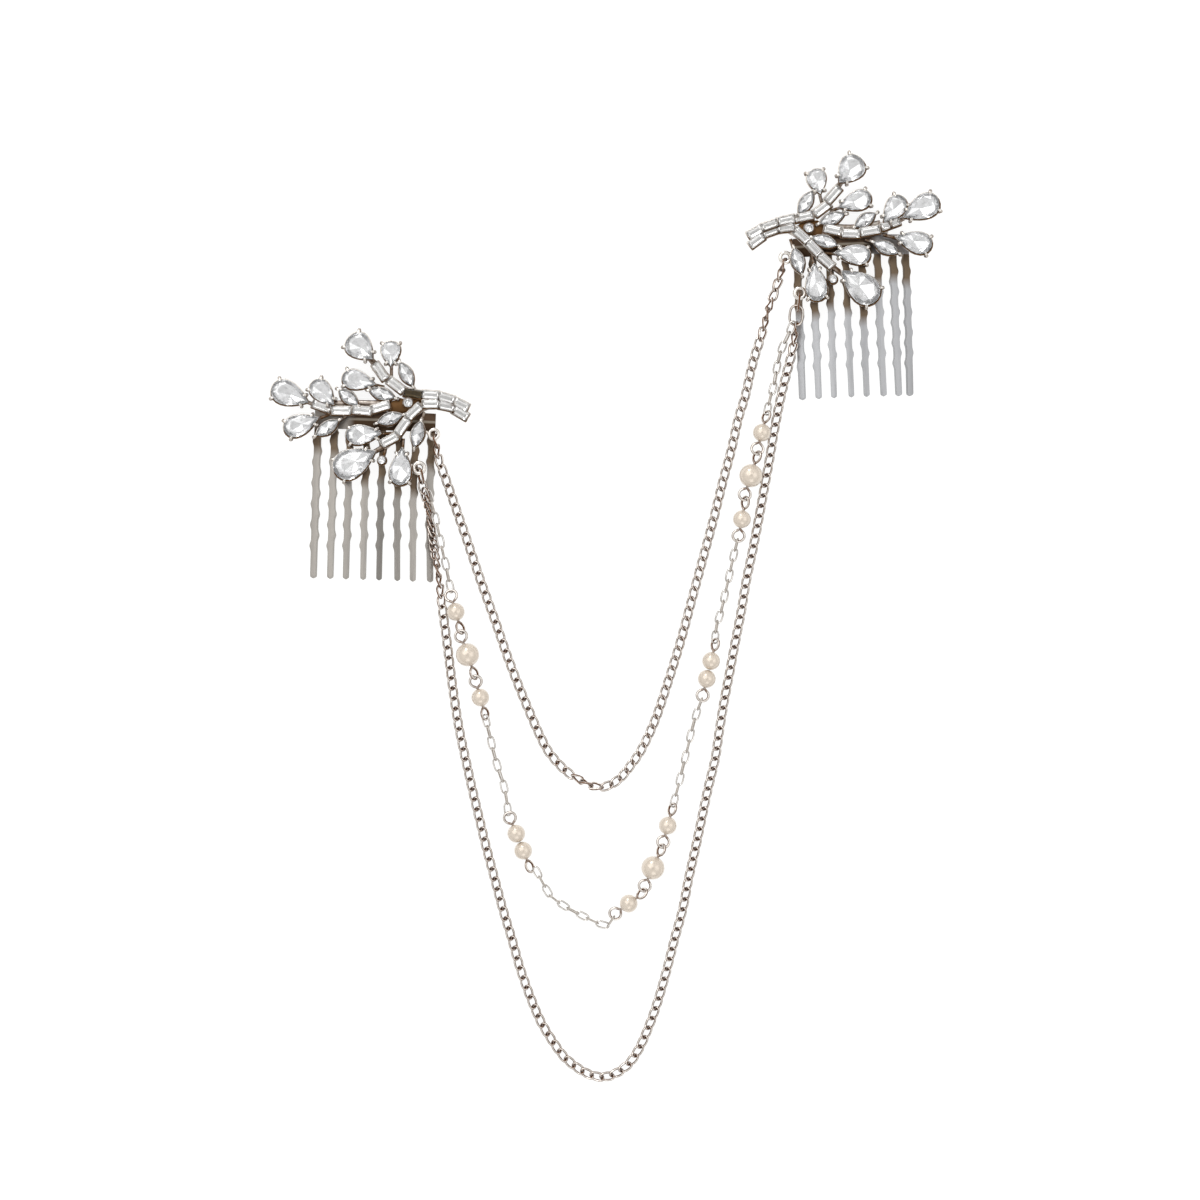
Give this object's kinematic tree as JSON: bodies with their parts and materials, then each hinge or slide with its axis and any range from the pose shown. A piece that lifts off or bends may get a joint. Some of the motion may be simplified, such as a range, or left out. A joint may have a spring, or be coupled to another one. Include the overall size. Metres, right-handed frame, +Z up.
{
  "type": "bridal hair comb",
  "caption": "Pair of stone-set spray side combs for the back of the hair, joined by curb chains and a swag of pearls.",
  "frame": {"origin": "middle of the piece as it lies, on the surface that it lies on", "axes": "+X across from the left comb to the right comb, +Y from the lowest swag towards the sprays, +Z up from the surface"},
  "size_m": [0.1486, 0.2064, 0.0066],
  "materials": {
    "silver": "antique silver plate, bright on the edges and brown in the recesses",
    "comb_metal": "satin plated metal",
    "stone": "clear foil-backed cut glass",
    "pearl": "cream pearl lustre"
  },
  "bodies": {
    "root": {"left_comb": "comb_metal", "left_setting": "silver", "right_comb": "comb_metal", "right_setting": "silver", "left_pear_1": "stone", "left_pear_2": "stone", "left_pear_3": "stone", "left_pear_4": "stone", "left_pear_5": "stone", "left_pear_6": "stone", "left_pear_7": "stone", "left_pear_8": "stone", "left_pear_9": "stone", "left_marquise_1": "stone", "left_marquise_2": "stone", "left_marquise_3": "stone", "left_marquise_4": "stone", "left_marquise_5": "stone", "left_marquise_6": "stone", "left_baguettes": "stone", "left_round_stones": "stone", "right_pear_1": "stone", "right_pear_2": "stone", "right_pear_3": "stone", "right_pear_4": "stone", "right_pear_5": "stone", "right_pear_6": "stone", "right_pear_7": "stone", "right_pear_8": "stone", "right_pear_9": "stone", "right_marquise_1": "stone", "right_marquise_2": "stone", "right_marquise_3": "stone", "right_marquise_4": "stone", "right_marquise_5": "stone", "right_marquise_6": "stone", "right_baguettes": "stone", "right_round_stones": "stone", "left_jump_ring": "silver", "right_ring_link": "silver", "right_jump_ring": "silver", "inner_chain": "silver", "outer_chain": "silver", "pearl_chain": "silver", "pearls": "pearl", "pearl_pins": "silver"}
  },
  "joints": []
}
